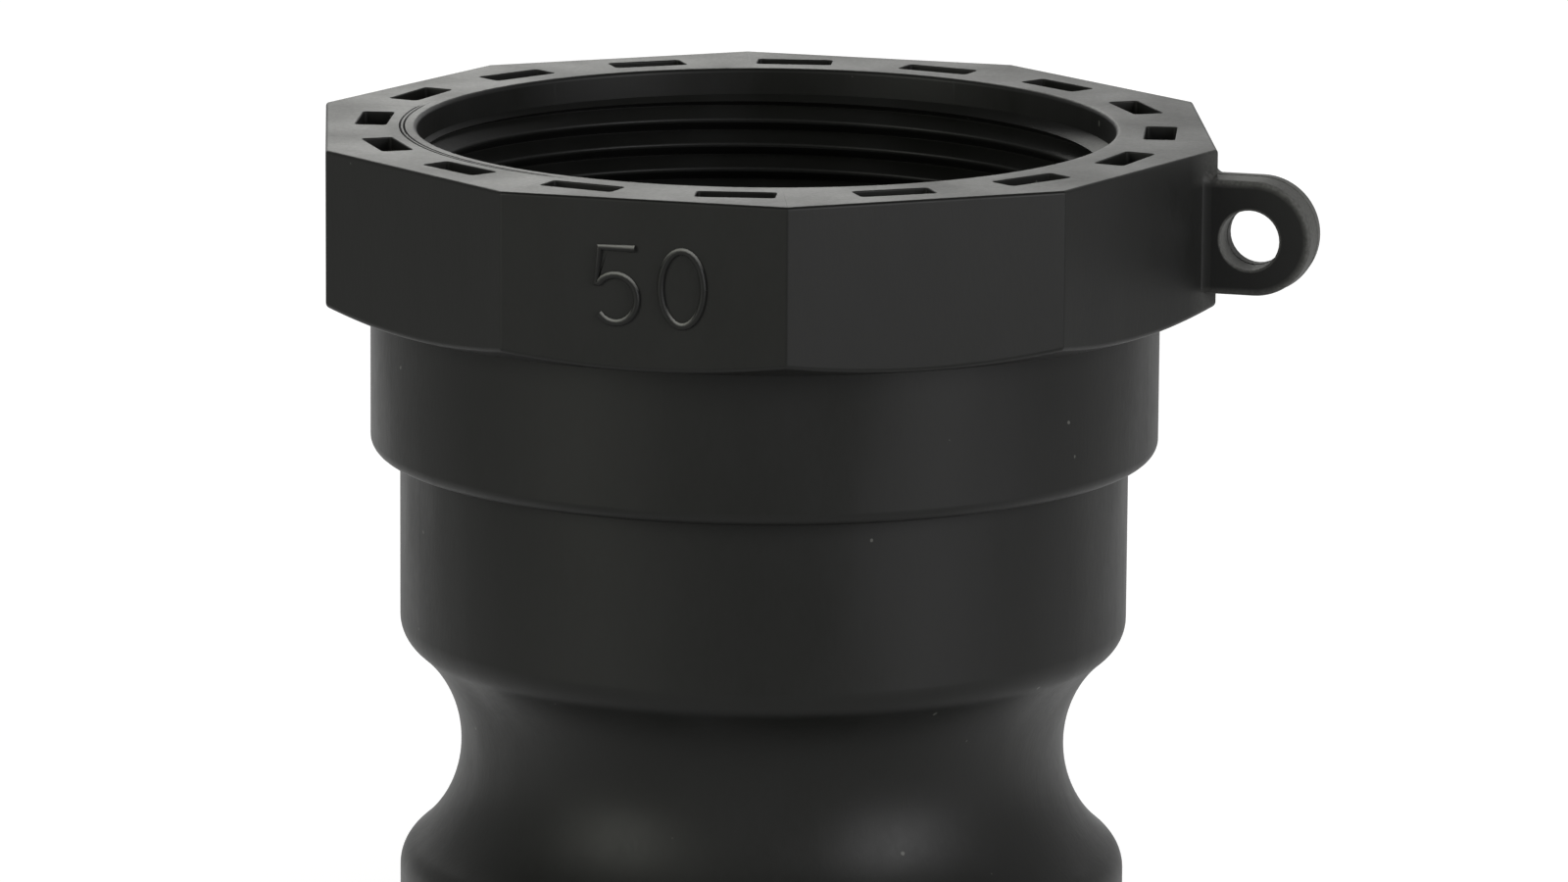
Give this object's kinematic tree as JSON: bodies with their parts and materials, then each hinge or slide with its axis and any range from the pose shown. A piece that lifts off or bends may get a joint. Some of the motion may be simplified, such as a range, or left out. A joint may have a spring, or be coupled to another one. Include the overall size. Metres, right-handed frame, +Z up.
{
  "type": "cam and groove hose adapter",
  "caption": "Male cam-and-groove hose adapter: faceted, cored wrench head with a threaded socket, tether lug, collar, shank with a cam groove, plain tip, and a flat washer in the socket.",
  "frame": {"origin": "on the floor under the middle of the footprint, tether lug included; the hose axis is upright at x = -4.35 mm, y = 0", "axes": "+Z up the hose axis, from the tip to the threaded mouth; +X towards the tether lug"},
  "size_m": [0.0882, 0.0756, 0.074],
  "materials": {
    "polypropylene": "satin moulded glass-filled polypropylene, black",
    "rubber": "matt black rubber"
  },
  "bodies": {
    "root": {"adapter_body": "polypropylene", "thread_washer": "rubber"}
  },
  "joints": []
}
